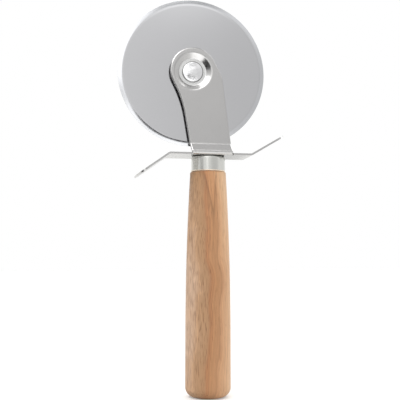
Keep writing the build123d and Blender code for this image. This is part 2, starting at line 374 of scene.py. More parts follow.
@dataclass(frozen=True)
class OiledAcacia:
    """Turned acacia under a thin coat of oil: wavy upright growth bands, short dark pores, a soft gloss."""

    name: str = "oiled_acacia"

    # Growth bands: upright sheets, roughly square to the wheel's plane, which sway from butt to ferrule.
    # Their colours grow paler to the right, partly grain and partly painted light from that side.
    bands: Stops = (
        (0.0, "#C2A186"), (0.08, "#B48E6C"), (0.17, "#AA835F"), (0.22, "#A87E5A"), (0.26, "#A8754E"),
        (0.36, "#AF8058"), (0.5, "#B68760"), (0.6, "#C89A72"), (1.0, "#D3AD88"))
    band_reach_mm: float = 12.0
    turn: float = 0.35
    length_mm: float = 112.0
    sway_mm: tuple[Point, ...] = (
        (0.0, -1.5), (0.12, -1.0), (0.25, 0.5), (0.42, 0.5), (0.51, 1.6),
        (0.65, -0.4), (0.76, 0.1), (0.86, 0.0), (0.93, -0.2), (1.0, -0.8))
    sway_reach_mm: float = 4.0
    ripple_mm: float = 1.0
    ripple_span: Point = (0.25, 0.75)
    ripple_size_mm: Lengths = (5.0, 5.0, 16.0)

    # Growth lines in the bands, and the fibre.
    ring_mm: float = 1.1
    ring_levels: Point = (0.88, 1.12)
    fibre_mm: Lengths = (0.35, 0.35, 8.0)
    fibre_levels: Point = (0.88, 1.1)
    depth_mm: float = 0.05
    relief: float = 0.6
    roughness: Point = (0.42, 0.56)

    # Pale tone on one side, towards the ferrule: partly pale outer wood, partly painted light from that side.
    sapwood_and_light: str = "#DDB790"
    sapwood_and_light_height_mm: Point = (66.0, 108.0)
    sapwood_and_light_side_mm: Point = (-1.5, 7.0)
    sapwood_and_light_share: float = 0.95

    # Flame below the ferrule: its outline widens upwards from its foot and leans a little.
    flame: Stops = ((0.0, "#DADADA"), (0.3, "#B4B4B4"), (0.5, "#686868"), (0.6, "#F0F0F0"), (1.0, "#F8F8F8"))
    flame_reach_mm: Point = (-2.5, 2.0)
    flame_right_share: float = 1.8
    flame_levels: Point = (0.65, 1.15)
    flame_across_mm: float = -2.55
    flame_low_mm: float = 93.0
    flame_slope: float = 5.5
    flame_lean: float = -0.017

    # Pores, denser towards the first of the two places across the bands: a pore shows where the noise rises
    # over a bar, which is lower there.
    pore: str = "#6E4A2E"
    pore_mm: Lengths = (0.324, 0.324, 5.44)
    pore_side_mm: Point = (-9.5, -2.0)
    pore_bars: Point = (0.55, 0.67)
    pore_softness: float = 0.1
    pore_share: float = 0.6

    def build(self) -> bpy.types.Material:
        """Makes the material.

        Returns:
            The material.
        """
        s = Surface(self.name, metallic=0.0)
        x, y, height = s.place_mm()
        straight = s.math("MULTIPLY_ADD", y, self.turn, x)
        across = self._across(s, height, straight)
        bands = s.ramp(s.spread(across, (-self.band_reach_mm, self.band_reach_mm)), self.bands)
        fibre = s.noise(self.fibre_mm, detail=3.0, roughness=0.6)
        level = s.math("MULTIPLY", self._rings(s, across), s.spread(fibre, NOISE_SPAN, self.fibre_levels))
        level = s.math("MULTIPLY", level, self._flame(s, height, straight))
        # Pale tone on one side: partly pale outer wood, partly painted light.
        wood = s.blend(self._sapwood_and_light(s, height, across), bands, linear(self.sapwood_and_light))
        toned = s.node("ShaderNodeVectorMath", {"operation": "SCALE"}, {0: wood, "Scale": level}).outputs[0]
        pores = self._pores(s, across)
        s.link(s.blend(pores, toned, linear(self.pore)), "Base Color")
        s.link(s.spread(fibre, NOISE_SPAN, self.roughness), "Roughness")
        s.link(s.bump(s.math("SUBTRACT", fibre, pores), self.depth_mm, self.relief), "Normal")
        return s.material

    def _across(self, s: Surface, height: Socket, straight: Socket) -> Socket:
        """Distance across the growth bands, which sway slowly along the handle and ripple a little.

        Args:
            s: the surface that is being built.
            height: height on the handle in millimetres.
            straight: distance across the log in millimetres, as if the bands were straight.

        Returns:
            The distance in millimetres.
        """
        sway = s.node("ShaderNodeFloatCurve", inputs={"Value": s.math("DIVIDE", height, self.length_mm)})
        curve = sway.mapping.curves[0]
        while len(curve.points) < len(self.sway_mm):
            curve.points.new(0.5, 0.5)
        for point, (at, shift) in zip(curve.points, self.sway_mm):
            point.location = (at, 0.5 + shift / (2 * self.sway_reach_mm))
        sway.mapping.update()
        moved = s.spread(sway.outputs[0], wanted=(self.sway_reach_mm, -self.sway_reach_mm))
        noise = s.noise(self.ripple_size_mm, detail=2.0)
        ripple = s.spread(noise, self.ripple_span, (-self.ripple_mm, self.ripple_mm))
        return s.math("ADD", straight, s.math("ADD", moved, ripple))

    def _rings(self, s: Surface, across: Socket) -> Socket:
        """Light and dark growth lines along the bands.

        Args:
            s: the surface that is being built.
            across: distance across the bands in millimetres.

        Returns:
            The level that they give the colour.
        """
        rings = s.node("ShaderNodeTexNoise", {"noise_dimensions": "1D"}, {
            "W": s.math("DIVIDE", across, self.ring_mm), "Scale": 1.0, "Detail": 2.0}).outputs["Fac"]
        return s.spread(rings, NOISE_SPAN, self.ring_levels)

    def _sapwood_and_light(self, s: Surface, height: Socket, across: Socket) -> Socket:
        """Pale tone, which comes in on one side towards the ferrule: partly pale outer wood, partly painted
        light from that side.

        Args:
            s: the surface that is being built.
            height: height on the handle in millimetres.
            across: distance across the bands in millimetres.

        Returns:
            The pale tone's share.
        """
        side = s.spread(across, self.sapwood_and_light_side_mm, smooth=True)
        upwards = s.spread(height, self.sapwood_and_light_height_mm, (0.0, self.sapwood_and_light_share), smooth=True)
        return s.math("MULTIPLY", side, upwards)

    def _flame(self, s: Surface, height: Socket, straight: Socket) -> Socket:
        """Pale flame below the ferrule, where the cut runs out of a growth band: dark line, light middle.

        Args:
            s: the surface that is being built.
            height: height on the handle in millimetres.
            straight: distance across the log in millimetres, as if the bands were straight.

        Returns:
            The level that it gives the colour.
        """
        above = s.math("SUBTRACT", height, self.flame_low_mm)
        middle = s.math("MULTIPLY_ADD", above, self.flame_lean, self.flame_across_mm)
        offset = s.math("SUBTRACT", straight, middle)
        left, right = s.math("MULTIPLY", offset, -1.0), s.math("MULTIPLY", offset, self.flame_right_share)
        reach = s.math("DIVIDE", above, self.flame_slope)
        inwards = s.math("SUBTRACT", reach, s.math("MAXIMUM", left, right))
        tone = s.ramp(s.spread(inwards, self.flame_reach_mm), self.flame)
        share = s.node("ShaderNodeSeparateColor", inputs={0: tone}).outputs[0]
        return s.spread(share, wanted=self.flame_levels)

    def _pores(self, s: Surface, across: Socket) -> Socket:
        """Short dark pores along the fibre, crowded on one side of the handle.

        Args:
            s: the surface that is being built.
            across: distance across the bands in millimetres.

        Returns:
            The pores' share.
        """
        bar = s.spread(across, self.pore_side_mm, self.pore_bars)
        top = s.math("ADD", bar, self.pore_softness)
        return s.spread(s.noise(self.pore_mm, detail=1.0), (bar, top), (0.0, self.pore_share))


# Meshes


def put(name: str, data: bpy.types.ID) -> bpy.types.Object:
    """Puts a mesh, lamp or camera into the scene as an object at the origin.

    Args:
        name: the object's name.
        data: what it shows.

    Returns:
        The object.
    """
    thing = bpy.data.objects.new(name, data)
    bpy.context.scene.collection.objects.link(thing)
    return thing


def final_mesh(piece: bpy.types.Object, name: str) -> bpy.types.Mesh:
    """Takes a piece's mesh as its modifiers leave it, and clears them.

    Args:
        piece: the piece.
        name: name of the mesh.

    Returns:
        The plain mesh.
    """
    ready = piece.evaluated_get(bpy.context.evaluated_depsgraph_get())
    mesh = bpy.data.meshes.new_from_object(ready)
    mesh.name = name
    piece.modifiers.clear()
    return mesh


def between(a: Point, b: Point, share: float) -> Point:
    """Point at a share of the way from one point to another."""
    return (a[0] + (b[0] - a[0]) * share, a[1] + (b[1] - a[1]) * share)


def rounded(points: list[Point], radii: list[float], steps: int) -> list[Point]:
    """Rounds the corners of an outline, and keeps the straight stretches beside the roundings flat.

    Args:
        points: corners of the outline in millimetres.
        radii: radius at each corner, 0 for a sharp one, and none for sharp ones at the end.
        steps: straight pieces in each rounding.

    Returns:
        The outline's points.
    """
    radii = [*radii, *[0.0] * (len(points) - len(radii))]
    corners: list[list[Point]] = []
    last = len(points) - 1
    for i, (point, radius) in enumerate(zip(points, radii)):
        if radius <= 0 or i in (0, last):
            corners.append([point])
            continue
        here = Vector(point)
        back, ahead = (Vector(points[i - 1]) - here).normalized(), (Vector(points[i + 1]) - here).normalized()
        half = acos(max(-1.0, min(1.0, back.dot(ahead)))) / 2
        middle = here + (back + ahead).normalized() * (radius / sin(half))
        start, end = here + back * (radius / tan(half)), here + ahead * (radius / tan(half))
        first = atan2(start.y - middle.y, start.x - middle.x)
        turn = (atan2(end.y - middle.y, end.x - middle.x) - first + pi) % (2 * pi) - pi
        corners.append([(middle.x + radius * cos(first + turn * k / steps),
                         middle.y + radius * sin(first + turn * k / steps)) for k in range(steps + 1)])
    out = list(corners[0])
    beside_rounding = [a > 0 or b > 0 for a, b in zip(radii, radii[1:])]
    for near, far, is_rounded in zip(corners, corners[1:], beside_rounding):
        length = hypot(far[0][0] - near[-1][0], far[0][1] - near[-1][1])
        if is_rounded and length > SUPPORT_ROOM_MM:
            out += [between(near[-1], far[0], SUPPORT_MM / length),
                    between(far[0], near[-1], SUPPORT_MM / length)]
        out += far
    return out


def crown(radius: float, rise: float, foot: float, side: float, steps: int = 12) -> list[Point]:
    """Spherical dome's outline from its axis to its rim.

    Args:
        radius: radius of the rim.
        rise: height of the dome.
        foot: level of the rim.
        side: 1 if it rises, -1 if it sinks.
        steps: straight pieces in the outline.

    Returns:
        Points from the axis outwards.
    """
    sphere = (radius * radius + rise * rise) / (2 * rise)
    reach = asin(radius / sphere)
    angles = [reach * k / steps for k in range(steps + 1)]
    return [(sphere * sin(a), foot + side * (rise - sphere * (1 - cos(a)))) for a in angles]


def clean(mesh: bpy.types.Mesh, flat: float | None = None) -> None:
    """Merges doubled points and turns every face outwards.

    Args:
        mesh: the mesh.
        flat: angle under which faces that meet become one, none if all stay.
    """
    b = bmesh.new()
    b.from_mesh(mesh)
    bmesh.ops.remove_doubles(b, verts=b.verts, dist=MERGE_MM * MM)
    if flat is not None:
        bmesh.ops.dissolve_limit(b, angle_limit=flat, verts=b.verts, edges=b.edges)
    bmesh.ops.recalc_face_normals(b, faces=b.faces)
    b.to_mesh(mesh)
    b.free()


@dataclass(frozen=True)
class TreeInput:
    """One named input of a geometry tree."""

    name: str
    kind: str


class GeometryTool(NodeWork):
    """A geometry node tree that is run once on an object and leaves a plain mesh."""

    def __init__(self, name: str, wanted: list[TreeInput]) -> None:
        """Starts the tree with its named inputs.

        Args:
            name: the tree's name.
            wanted: inputs after the geometry itself.
        """
        super().__init__(bpy.data.node_groups.new(name, "GeometryNodeTree"))
        face = self.tree.interface
        face.new_socket(name="Geometry", in_out="INPUT", socket_type="NodeSocketGeometry")
        self.sockets = {w.name: face.new_socket(name=w.name, in_out="INPUT", socket_type=w.kind).identifier
                        for w in wanted}
        face.new_socket(name="Geometry", in_out="OUTPUT", socket_type="NodeSocketGeometry")
        self.given = self.node("NodeGroupInput").outputs
        self.out = self.node("NodeGroupOutput")

    def close(self, geometry: Socket, material: Socket) -> None:
        """Ends the tree in plain geometry with its material.

        Args:
            geometry: what the tree made.
            material: its finish.
        """
        real = self.node("GeometryNodeRealizeInstances", inputs={0: geometry}).outputs[0]
        dressed = self.node("GeometryNodeSetMaterial", inputs={"Geometry": real, "Material": material})
        self.tree.links.new(dressed.outputs[0], self.out.inputs[0])

    def run(self, name: str, points: list[Lengths], values: dict[str, object]) -> bpy.types.Object:
        """Runs the tree on a row of points.

        Args:
            name: name of the finished piece.
            points: guiding points in metres, in order.
            values: the tree's inputs by name.

        Returns:
            A plain mesh object at the origin, with its finish as its only one.
        """
        mesh = bpy.data.meshes.new(name + "_guide")
        mesh.from_pydata(points, [(i, i + 1) for i in range(len(points) - 1)], [])
        guide = put(name + "_guide", mesh)
        modifier = guide.modifiers.new("shape", "NODES")
        modifier.node_group = self.tree
        for key, value in values.items():
            modifier[self.sockets[key]] = value
        plain = final_mesh(guide, name)
        bpy.data.objects.remove(guide)
        clean(plain)
        plain.materials.clear()
        plain.materials.append(values["Material"])
        for face in plain.polygons:
            face.material_index = 0
        return put(name, plain)


class Lathe(GeometryTool):
    """Turns an outline of radius and height about an axis, and lays copies in a row."""

    def __init__(self) -> None:
        """Builds the tree: a grid bent round the axis, one column of points for each point of the outline."""
        super().__init__("lathe", [
            TreeInput("Segments", "NodeSocketInt"), TreeInput("Turn", "NodeSocketVector"),
            TreeInput("Place", "NodeSocketVector"), TreeInput("Copies", "NodeSocketInt"),
            TreeInput("Spacing", "NodeSocketVector"), TreeInput("Sharp angle", "NodeSocketFloat"),
            TreeInput("Material", "NodeSocketMaterial")])
        given = self.given
        count = self.node("GeometryNodeAttributeDomainSize", {"component": "MESH"},
                          {0: given["Geometry"]}).outputs["Point Count"]
        rows = self.math("ADD", given["Segments"], 1.0)
        grid = self.node("GeometryNodeMeshGrid", inputs={
            "Size X": 1.0, "Size Y": 1.0, "Vertices X": count, "Vertices Y": rows})
        position = self.node("GeometryNodeInputPosition").outputs[0]
        spot = self.node("ShaderNodeSeparateXYZ", inputs={0: position}).outputs
        last = self.math("SUBTRACT", count, 1.0)
        index = self.math("ROUND", self.math("MULTIPLY", self.math("ADD", spot[0], 0.5), last))
        angle = self.math("MULTIPLY", self.math("ADD", spot[1], 0.5), 2 * pi)
        sample = self.node("GeometryNodeSampleIndex", {"data_type": "FLOAT_VECTOR", "domain": "POINT"}, {
            "Geometry": given["Geometry"], "Value": position, "Index": index}).outputs[0]
        outline = self.node("ShaderNodeSeparateXYZ", inputs={0: sample}).outputs
        x = self.math("MULTIPLY", outline[0], self.math("COSINE", angle))
        y = self.math("MULTIPLY", outline[0], self.math("SINE", angle))
        bent = self.node("GeometryNodeSetPosition", inputs={
            "Geometry": grid.outputs["Mesh"],
            "Position": self.node("ShaderNodeCombineXYZ", inputs={0: x, 1: y, 2: outline[2]}).outputs[0]})
        whole = self.node("GeometryNodeMergeByDistance", inputs={
            "Geometry": bent.outputs[0], "Distance": MERGE_MM * MM})
        smooth = self.node("GeometryNodeSetShadeSmooth", {"domain": "FACE"}, {
            "Geometry": whole.outputs[0], "Shade Smooth": True})
        corner = self.node("FunctionNodeCompare", {"operation": "GREATER_THAN"}, {
            0: self.node("GeometryNodeInputMeshEdgeAngle").outputs[0], 1: given["Sharp angle"]})
        creased = self.node("GeometryNodeSetShadeSmooth", {"domain": "EDGE"}, {
            "Geometry": smooth.outputs[0], "Selection": corner.outputs[0], "Shade Smooth": False})
        placed = self.node("GeometryNodeTransform", inputs={
            "Geometry": creased.outputs[0], "Translation": given["Place"], "Rotation": given["Turn"]})
        row = self.node("GeometryNodeMeshLine", inputs={
            "Count": given["Copies"], "Start Location": (0.0, 0.0, 0.0), "Offset": given["Spacing"]})
        copies = self.node("GeometryNodeInstanceOnPoints", inputs={
            "Points": row.outputs[0], "Instance": placed.outputs[0]})
        self.close(copies.outputs[0], given["Material"])

    def turn(self, name: str, outline: list[Point], turning: Turning, material: bpy.types.Material,
             segments: int = SEGMENTS, place: Vector = Vector((0, 0, 0)), copies: int = 1,
             spacing: Vector = Vector((0, 0, 0))) -> bpy.types.Object:
        """Turns one piece.

        Args:
            name: name of the piece.
            outline: points of radius and height in millimetres, in order.
            turning: axis that the piece is turned about.
            material: the piece's finish.
            segments: faces round the piece.
            place: place of the outline's origin, in metres.
            copies: how many stand in a row.
            spacing: step from one copy to the next, in metres.

        Returns:
            The piece.
        """
        return self.run(name, [(r * MM, 0.0, h * MM) for r, h in outline], {
            "Segments": segments, "Turn": turning.value, "Place": tuple(place), "Copies": copies,
            "Spacing": tuple(spacing), "Sharp angle": SHARP_ANGLE, "Material": material})


def bored(piece: bpy.types.Object, cutters: list[bpy.types.Object]) -> None:
    """Cuts bores in a piece.

    Args:
        piece: closed mesh that is cut.
        cutters: closed meshes to take away, which are then deleted.
    """
    for cutter in cutters:
        modifier = piece.modifiers.new("bore", "BOOLEAN")
        modifier.operation, modifier.solver, modifier.object = "DIFFERENCE", "EXACT", cutter
    piece.data = final_mesh(piece, piece.name)
    for cutter in cutters:
        bpy.data.objects.remove(cutter)


def merged_copy(node: str, name: str, material: bpy.types.Material, edge_mm: float) -> bpy.types.Object:
    """Copies a CAD node into one clean mesh with softly broken edges.

    Args:
        node: the CAD node.
        name: name of the new piece.
        material: its finish.
        edge_mm: width of the broken edges, in millimetres.

    Returns:
        The new piece.
    """
    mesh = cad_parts[node].data.copy()
    mesh.name = name
    clean(mesh, flat=FLAT_ANGLE)
    for face in mesh.polygons:
        face.use_smooth = True
    mesh.materials.clear()
    mesh.materials.append(material)
    piece = put(name, mesh)
    bevel = piece.modifiers.new("broken_edges", "BEVEL")
    bevel.width, bevel.segments, bevel.use_clamp_overlap = edge_mm * MM, BROKEN_EDGE_STEPS, True
    bevel.limit_method, bevel.angle_limit, bevel.harden_normals = "ANGLE", CORNER_ANGLE, False
    weighted = piece.modifiers.new("even_shading", "WEIGHTED_NORMAL")
    weighted.mode, weighted.weight, weighted.keep_sharp = "FACE_AREA_WITH_ANGLE", FACE_AREA_WEIGHT, True
    piece.data = final_mesh(piece, name)
    return piece


def refinish(piece: bpy.types.Object, material: bpy.types.Material,
             chosen: Callable[[bpy.types.MeshPolygon], bool]) -> None:
    """Gives some of a piece's faces another finish.

    Args:
        piece: the piece.
        material: the other finish.
        chosen: test on a face.
    """
    piece.data.materials.append(material)
    index = len(piece.data.materials) - 1
    for face in piece.data.polygons:
        if chosen(face):
            face.material_index = index


def from_axle(spot: Vector) -> float:
    """Distance of a place from the line of the wheel's axle, in millimetres."""
    away = spot - AXLE
    return hypot(away.x, away.z) * PER_METRE


def settle(piece: bpy.types.Object, body: Body, slot: Slot, node: str) -> None:
    """Fastens a piece to its body and hides the CAD node that it stands for.

    Args:
        piece: the piece.
        body: the body that it moves with.
        slot: its material slot in the record; not used.
        node: the CAD node.
    """
    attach(piece, body.value)
    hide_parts(node)
    log.info("piece %s on %s: %d faces", piece.name, body.value, len(piece.data.polygons))


def dress(node: str, material: bpy.types.Material) -> None:
    """Gives a CAD node that stays in view its finish.

    Args:
        node: the CAD node.
        material: its finish.
    """
    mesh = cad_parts[node].data
    if mesh.materials:
        mesh.materials[0] = material
    else:
        mesh.materials.append(material)
    log.info("node %s dressed with %s", node, material.name)


# Sub-assemblies


@dataclass
class CuttingWheel:
    """Round blade ground to an edge from both faces, with its bush. Sizes in millimetres."""

    lathe: Lathe
    # A hair under the CAD radius of 37.5, because the CAD mesh's facets don't reach the full circle.
    radius: float = 37.485
    thickness: float = 1.0
    edge: float = 0.2
    bevel: float = 2.0
    bore: float = 3.77
    plane: float = -3.2
    bore_rounding: float = 0.08
    bevel_rounding: float = 10.0
    edge_rounding: float = 0.05
    rounding_steps: int = 10
    # The outline starts and ends this far inside the bore.
    seam: float = 0.1
    segments: int = 384
    rolled: SteelFinish = SteelFinish(
        # Cold rolled stainless blade stock, lightly polished: a near mirror with a faint haze.
        name="rolled_stainless", light="#CBCBCD", dark="#C7C7C9", cloud_mm=(30.0, 30.0, 30.0),
        roughness=(0.10, 0.14), marks_mm=(0.6, 0.6, 0.6), marks_depth_mm=0.0004)
    ground: SteelFinish = SteelFinish(
        # Belt-ground bevel: brighter and rougher than the face.
        name="ground_stainless_edge", light="#D8D9DB", dark="#CFD0D3", cloud_mm=(6.0, 6.0, 6.0),
        roughness=(0.14, 0.2), marks_mm=(0.5, 0.5, 0.5), marks_depth_mm=0.001)
    brass: PlainFinish = PlainFinish(
        # Free-cutting brass as it leaves the lathe.
        name="turned_bush_brass", light="#D9B36B", dark="#C79C52", metallic=1.0, roughness=0.25,
        texture_mm=0.5, texture_depth_mm=0.003)

    def build(self) -> None:
        """Turns the blade, gives its bevels their own finish and dresses the bush."""
        front, back = self.plane - self.thickness / 2, self.plane + self.thickness / 2
        flat, tip = self.radius - self.bevel, self.edge / 2
        start = (self.bore, front + self.seam)
        outline = rounded([
            start, (self.bore, front), (flat, front), (self.radius, self.plane - tip),
            (self.radius, self.plane + tip), (flat, back), (self.bore, back), start],
            [0, self.bore_rounding, self.bevel_rounding, self.edge_rounding,
             self.edge_rounding, self.bevel_rounding, self.bore_rounding], self.rounding_steps)
        steel = self.rolled.build()
        blade = self.lathe.turn("cutting_blade", outline, Turning.AXLE, steel, self.segments, AXLE)
        refinish(blade, self.ground.build(), lambda face: from_axle(face.center) > flat)
        settle(blade, Body.WHEEL, Slot.WHEEL, "cutting_wheel")
        dress("wheel_bush", self.brass.build())


@dataclass
class Axle:
    """Rivet, its cap and the nylon washers that the wheel runs between. Sizes in millimetres."""

    lathe: Lathe
    seat: float = DISH_FLOOR
    head_radius: float = 5.35
    head_edge: float = 0.55
    head_dome: float = 0.75
    dome_rounding: float = 0.18
    # Width of the ring of painted shade round the head's rim.
    rim_width: float = 0.3
    shank_radius: float = 2.5
    shank_end: float = -0.4
    shank_rounding: float = 0.1
    cap_front: float = -1.7
    cap_radius: float = 4.6
    cap_edge: float = 0.9
    cap_dome: float = 1.0
    cap_rounding: float = 0.12
    fit: float = 0.02
    rounding_steps: int = 4
    segments: int = 96
    polished: SteelFinish = SteelFinish(
        # Barrel-polished stainless rivet: mirror bright, with the shallow dents of the setting tool.
        name="polished_stainless_rivet", light="#F3F3F4", dark="#E7E7E8", cloud_mm=(2.0, 2.0, 2.0),
        roughness=(0.18, 0.26), marks_mm=(0.5, 0.5, 0.5), marks_depth_mm=0.002,
        dents_mm=2.2, dents_depth_mm=0.12)
    rim_shade: SteelFinish = SteelFinish(
        # Rim of the head, darkened with painted shade for the contact line where it sits in the dish; a
        # little rough.
        name="painted_shade_rivet_rim", light="#939392", dark="#7E7E7D", cloud_mm=(1.5, 1.5, 1.5),
        roughness=(0.3, 0.4), marks_mm=(0.4, 0.4, 0.4), marks_depth_mm=0.002)
    nylon: PlainFinish = PlainFinish(
        # Natural nylon, moulded: milky and waxy.
        name="moulded_nylon", light="#EAE8E0", dark="#E2DFD4", metallic=0.0, roughness=0.45,
        texture_mm=0.4, texture_depth_mm=0.004)

    def build(self) -> None:
        """Turns the rivet and its cap and dresses the washers."""
        steel, nylon = self.polished.build(), self.nylon.build()
        head = crown(self.head_radius, self.head_dome, self.seat - self.head_edge, -1)
        rivet = self._turned("axle_rivet_head_and_shank", steel, head, [
            (self.head_radius, self.seat), (self.shank_radius, self.seat),
            (self.shank_radius, self.shank_end), (0.0, self.shank_end)],
            [self.dome_rounding, 0, 0, self.shank_rounding])
        rim = self.head_radius - self.rim_width
        # Painted shade round the head's rim, where it sits in the dish.
        refinish(rivet, self.rim_shade.build(), lambda face: from_axle(face.center) > rim)
        settle(rivet, Body.FRAME, Slot.RIVET, "axle_rivet")
        bore = self.shank_radius + self.fit
        dome = crown(self.cap_radius, self.cap_dome, self.cap_front + self.cap_edge, 1)
        cap = self._turned("closing_cap", steel, dome, [
            (self.cap_radius, self.cap_front), (bore, self.cap_front), (bore, self.shank_end),
            (0.0, self.shank_end)], [self.dome_rounding, self.cap_rounding])
        settle(cap, Body.FRAME, Slot.RIVET, "rivet_cap")
        for node in ("front_washer", "rear_washer"):
            dress(node, nylon)

    def _turned(self, name: str, steel: bpy.types.Material, dome: list[Point], rest: list[Point],
                radii: list[float]) -> bpy.types.Object:
        """Turns a domed piece about the axle.

        Args:
            name: name of the piece.
            steel: its finish.
            dome: outline of its dome, from the axis to the rim.
            rest: corners that follow.
            radii: roundings of the dome's rim and of those corners, none for sharp ones at the end.

        Returns:
            The piece.
        """
        outline = rounded(dome + rest, [0.0] * (len(dome) - 1) + radii, self.rounding_steps)
        return self.lathe.turn(name, outline, Turning.AXLE, steel, self.segments, AXLE)


@dataclass
class Bracket:
    """Stamped arm, dish, guard and wings: one bent sheet. Sizes in millimetres."""

    broken_edge: float = 0.12
    dish_floor: float = DISH_FLOOR
    dish_floor_radius: float = 7.0
    plate_under: float = GUARD_UNDER
    # A face this near to the plate's lower level lies in it.
    level_slack: float = 0.01
    stamped: SteelFinish = SteelFinish(
        # Stamped stainless sheet after tumbling: satin, a little warmer and duller than the blade.
        name="stamped_stainless", light="#C4C3C2", dark="#BDBCBB", cloud_mm=(12.0, 12.0, 12.0),
        roughness=(0.2, 0.27), marks_mm=(0.7, 0.7, 0.7), marks_depth_mm=0.001,
        dents_mm=9.0, dents_depth_mm=0.02)
    burnished: SteelFinish = SteelFinish(
        # Floor of the dish, burnished by the setting tool round the rivet.
        name="burnished_dish_floor", light="#E4E4E3", dark="#D6D6D5", cloud_mm=(3.0, 3.0, 3.0),
        roughness=(0.2, 0.3), marks_mm=(0.5, 0.5, 0.5), marks_depth_mm=0.002)
    underside_shade: ShadedSteelFinish = ShadedSteelFinish(
        # The same sheet under the guard's plate, with painted shade beside the ferrule, darkest close to it
        # on the right.
        **(vars(stamped) | {"name": "painted_shade_stamped_underside"}),
        shades=((0.0, "#FBFBFB"), (0.28, "#ECECEC"), (0.72, "#B2B2B2"), (0.86, "#C8C8C8"), (1.0, WHITE)))

    def build(self) -> None:
        """Makes the sheet from the CAD shape, with the broken edges that tumbling leaves."""
        sheet = merged_copy("bracket", "stamped_bracket", self.stamped.build(), self.broken_edge)
        corners = sheet.data.vertices

        def on_dish_floor(face: bpy.types.MeshPolygon) -> bool:
            """Tells whether a face looks forward and all of it lies in the dish's floor."""
            spots = [corners[i].co for i in face.vertices]
            return face.normal.y < 0 and all(
                from_axle(spot) < self.dish_floor_radius
                and abs(spot.y - self.dish_floor * MM) < self.broken_edge * MM for spot in spots)

        refinish(sheet, self.burnished.build(), on_dish_floor)
        # Painted shade under the guard's plate beside the ferrule.
        refinish(sheet, self.underside_shade.build(),
                 lambda face: abs(face.center.z - self.plate_under * MM) < self.level_slack * MM)
        settle(sheet, Body.FRAME, Slot.BRACKET, "bracket")


@dataclass
class Ferrule:
    """Drawn steel cup over the handle's end. Sizes in millimetres."""

    lathe: Lathe
    radius: float = 8.68
    low: float = WOOD_TOP
    high: float = GUARD_UNDER
    wall: float = 1.2
    end: float = FERRULE_END
    screw_hole: float = 2.65
    top_rounding: float = 1.2
    low_rounding: float = 0.9
    inner_rounding: float = 0.1
    rounding_steps: int = 8
    # Height of the painted shadow on the cup's top edge, under the guard.
    shade_height: float = 0.25
    drawn: SteelFinish = SteelFinish(
        # Drawn stainless cup, buffed: bright, with faint draw lines along it.
        name="drawn_stainless", light="#DCDCD8", dark="#CDCDC8", cloud_mm=(1.6, 1.6, 24.0),
        roughness=(0.12, 0.2), marks_mm=(0.35, 0.35, 14.0), marks_depth_mm=0.002)
    top_edge_shade: SteelFinish = SteelFinish(
        # Painted shadow on the cup's top edge, in the crevice under the guard: dark and a little rough.
        name="painted_shade_ferrule_top", light="#50504E", dark="#3C3C3B", cloud_mm=(3.0, 3.0, 3.0),
        roughness=(0.35, 0.45), marks_mm=(0.5, 0.5, 0.5), marks_depth_mm=0.002)
    rim_highlight: SteelFinish = SteelFinish(
        # Lower rim, roughened where it was pressed over the wood; its pale cream tone is a painted highlight
        # with a painted warm reflection of the wood.
        name="painted_highlight_ferrule_rim", light="#EFE3D3", dark="#E2D5C4", cloud_mm=(3.0, 3.0, 3.0),
        roughness=(0.45, 0.55), marks_mm=(0.5, 0.5, 0.5), marks_depth_mm=0.002)

    def build(self) -> bpy.types.Object:
        """Turns the cup, with painted shadow on its top edge under the guard and a painted highlight on its
        rougher lower rim.

        Returns:
            The piece, for boring.
        """
        inner, roof = self.radius - self.wall, self.high - self.end
        start, within = (inner, (self.low + roof) / 2), self.inner_rounding
        outline = rounded([
            start, (inner, self.low), (self.radius, self.low), (self.radius, self.high),
            (self.screw_hole, self.high), (self.screw_hole, roof), (inner, roof), start],
            [0, within, self.low_rounding, self.top_rounding, within, within, within], self.rounding_steps)
        cup = self.lathe.turn("ferrule_cup", outline, Turning.HANDLE, self.drawn.build())
        shade_from, highlight_to = self.high - self.shade_height, self.low + self.low_rounding
        # Painted shadow on the top edge under the guard.
        refinish(cup, self.top_edge_shade.build(), lambda face: face.center.z > shade_from * MM)
        # Painted highlight with a painted warm reflection of the wood on the lower rim.
        refinish(cup, self.rim_highlight.build(), lambda face: face.center.z < highlight_to * MM)
        return cup


